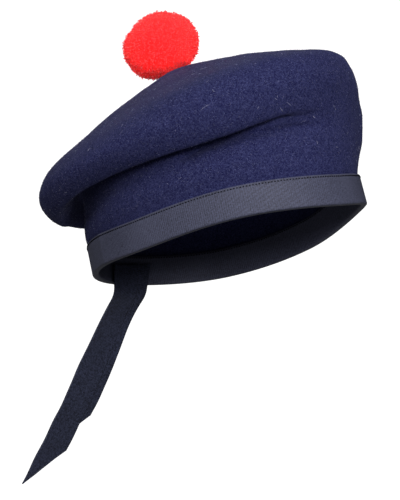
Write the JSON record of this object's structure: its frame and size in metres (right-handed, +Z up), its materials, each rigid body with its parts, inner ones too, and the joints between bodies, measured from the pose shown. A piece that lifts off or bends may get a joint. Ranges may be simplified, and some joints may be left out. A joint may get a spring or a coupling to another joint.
{
  "type": "balmoral bonnet",
  "caption": "Navy wool felt bonnet with a soft drooping crown, a black ribbon band, ribbon tails behind and a red wool pompom on top.",
  "frame": {"origin": "the middle of the band's lower opening, where the bonnet sits on a head", "axes": "+Z up as worn, -Y the way the wearer faces, +X the wearer's left; the bonnet's own axis leans 16.4 degrees back from +Z"},
  "size_m": [0.2143, 0.2439, 0.3315],
  "materials": {
    "felt": "navy blue felted wool, matt and slightly fuzzy",
    "ribbon": "black grosgrain ribbon, finely ribbed, low sheen",
    "wool": "red cut wool yarn, matt"
  },
  "bodies": {
    "root": {"crown": "felt", "band": "ribbon", "toorie": "wool", "tail_left": "ribbon", "tail_right": "ribbon"}
  },
  "joints": []
}
